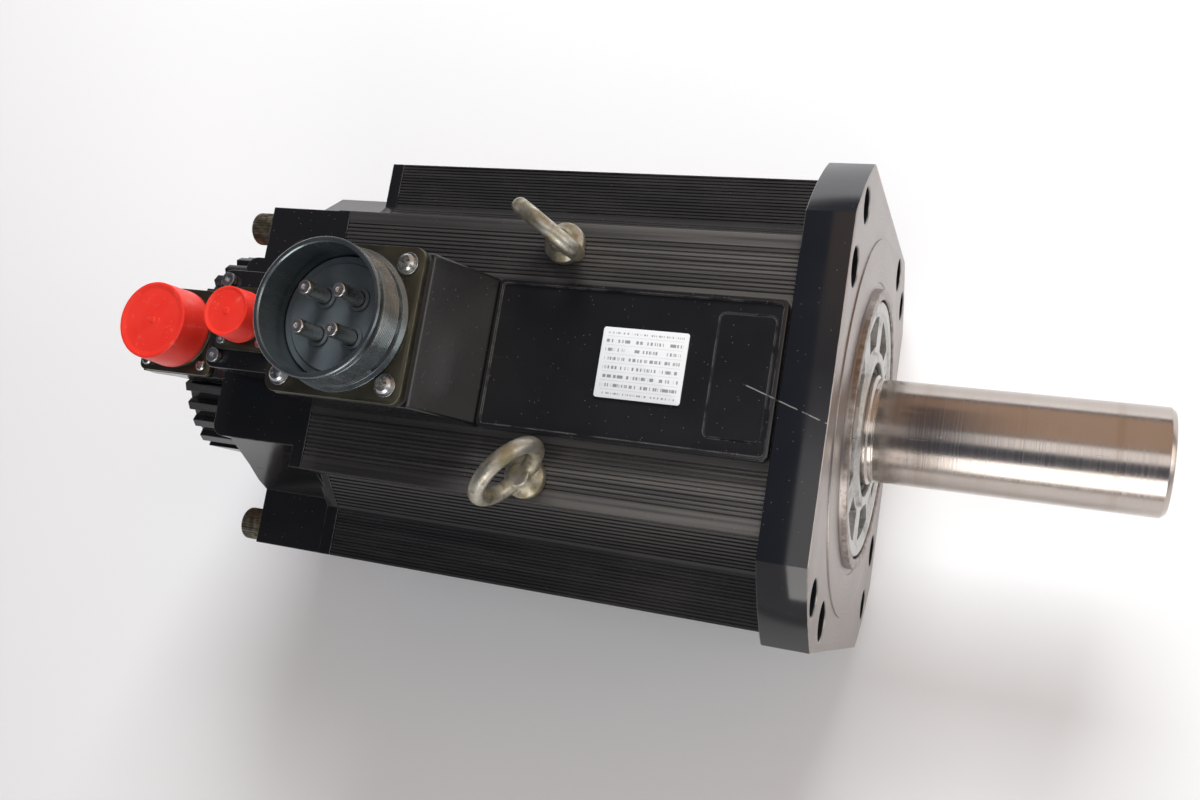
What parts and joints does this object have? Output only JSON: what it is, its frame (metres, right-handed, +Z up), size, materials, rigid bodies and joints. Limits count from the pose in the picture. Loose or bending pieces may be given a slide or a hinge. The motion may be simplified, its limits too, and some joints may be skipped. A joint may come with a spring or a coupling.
{
  "type": "servo motor",
  "caption": "Square-flange AC servo motor with plain shaft, grooved body, upright round connectors, lifting eyes and a fan-cooled rear drum.",
  "frame": {"origin": "centre of the underside of the bounding box, level with the flange's lower edge", "axes": "+X along the shaft towards its output end, +Z up through the nameplate side, +Y across the flange"},
  "size_m": [0.425, 0.18, 0.235],
  "materials": {
    "black_paint": "glossy black paint on cast aluminium",
    "black_anodised": "satin black anodised extrusion",
    "flange_metal": "machined face, black painted edges",
    "cast_aluminium": "bare casting",
    "shaft_steel": "polished",
    "bearing_steel": "polished",
    "ball_cage_steel": "satin",
    "lamination_steel": "matte",
    "copper_winding": "varnished copper",
    "zinc_yellow": "worn yellow zinc",
    "olive_plate": "olive conductive plating",
    "insulator_grey": "satin",
    "silver_pin": "silver plated",
    "screw_steel": "polished",
    "black_rubber": "matte",
    "label_white": "satin",
    "red_cap": "satin",
    "encoder_glass": "gloss",
    "fan_plastic": "matte"
  },
  "bodies": {
    "housing": {"bearing_retainer": "cast_aluminium", "connector_box": "black_paint", "encoder_connector_screw_1": "screw_steel", "encoder_connector_screw_2": "screw_steel", "encoder_connector_screw_3": "screw_steel", "encoder_connector_screw_4": "screw_steel", "encoder_connector_shell": "olive_plate", "encoder_housing": "fan_plastic", "encoder_insert": "insulator_grey", "eyebolt_1": "zinc_yellow", "eyebolt_2": "zinc_yellow", "fan_base_screw_1": "screw_steel", "fan_base_screw_2": "screw_steel", "fan_connector_base": "black_paint", "fan_connector_screw_1": "screw_steel", "fan_connector_screw_2": "screw_steel", "fan_connector_screw_3": "screw_steel", "fan_connector_screw_4": "screw_steel", "fan_connector_shell": "olive_plate", "fan_frame": "fan_plastic", "fan_guard": "screw_steel", "fan_insert": "insulator_grey", "front_bearing_outer_race": "bearing_steel", "front_bracket": "flange_metal", "front_winding": "copper_winding", "nameplate": "label_white", "nameplate_cover": "black_paint", "oil_seal": "black_rubber", "power_connector_shell": "olive_plate", "power_gasket": "black_rubber", "power_insert": "insulator_grey", "power_pin_1": "silver_pin", "power_pin_2": "silver_pin", "power_pin_3": "silver_pin", "power_pin_4": "silver_pin", "power_screw_1": "screw_steel", "power_screw_2": "screw_steel", "power_screw_3": "screw_steel", "power_screw_4": "screw_steel", "rear_bearing_outer_race": "bearing_steel", "rear_bracket": "black_paint", "rear_cover": "black_paint", "rear_winding": "copper_winding", "stator_core": "lamination_steel", "stator_frame": "black_anodised", "tie_bolt_1": "zinc_yellow", "tie_bolt_2": "zinc_yellow", "tie_bolt_3": "zinc_yellow", "tie_bolt_4": "zinc_yellow", "wave_washer": "bearing_steel"},
    "rotor": {"shaft": "shaft_steel", "rotor_core": "lamination_steel", "front_bearing_inner_race": "bearing_steel", "rear_bearing_inner_race": "bearing_steel", "front_ball_cage": "ball_cage_steel", "rear_ball_cage": "ball_cage_steel", "encoder_disc": "encoder_glass"},
    "fan": {"fan_impeller": "fan_plastic"},
    "encoder_cap": {"encoder_cap": "red_cap"},
    "fan_cap": {"fan_cap": "red_cap"}
  },
  "joints": [
    {"name": "rotor_spin", "type": "hinge", "parent": "housing", "child": "rotor", "pos_m": [0, 0, 0.09], "axis": [1, 0, 0], "continuous": true},
    {"name": "fan_spin", "type": "hinge", "parent": "housing", "child": "fan", "pos_m": [-0.1775, 0, 0.09], "axis": [1, 0, 0], "continuous": true},
    {"name": "encoder_cap_pull", "type": "slide", "parent": "housing", "child": "encoder_cap", "axis": [0, 0, 1], "range_m": [0, 0.03]},
    {"name": "fan_cap_pull", "type": "slide", "parent": "housing", "child": "fan_cap", "axis": [0, 0, 1], "range_m": [0, 0.025]}
  ]
}
